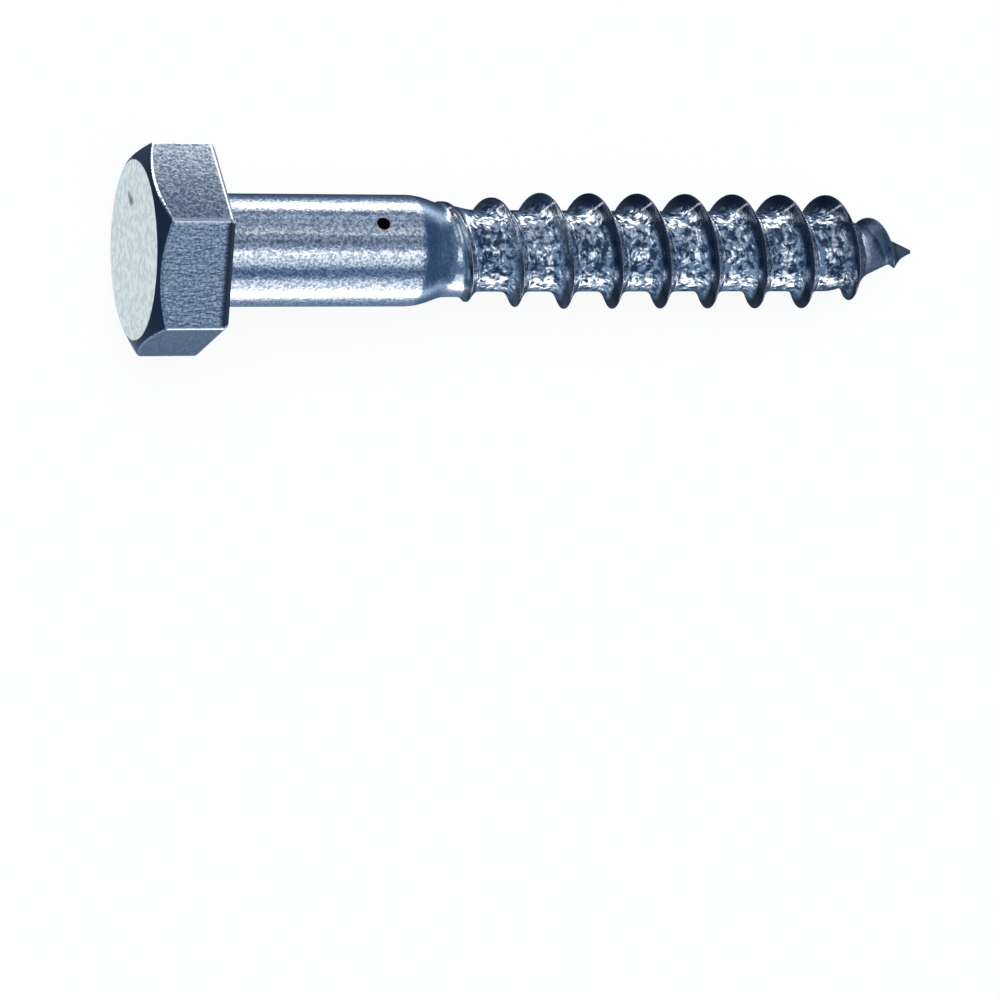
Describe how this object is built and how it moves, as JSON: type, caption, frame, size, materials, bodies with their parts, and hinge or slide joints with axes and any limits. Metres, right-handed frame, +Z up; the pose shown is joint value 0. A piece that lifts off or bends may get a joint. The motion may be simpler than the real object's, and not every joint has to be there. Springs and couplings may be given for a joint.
{
  "type": "lag screw",
  "caption": "Hexagon-head lag screw with a smooth shank, a neck, a coarse right-hand wood thread and a gimlet point, for fixing timber.",
  "frame": {"origin": "on the ground, under the middle of the screw as it lies", "axes": "+X from the head to the point along the ground, +Y across, +Z up; the screw's own axis dips 3.06 degrees towards the point, because it lies on a flat of its head and on one crest of its thread"},
  "size_m": [0.0718, 0.0184, 0.0163],
  "materials": {
    "zinc_steel": "bright zinc plating, glossy and slightly mottled over forged and rolled steel"
  },
  "bodies": {
    "root": {"lag_screw": "zinc_steel"}
  },
  "joints": []
}
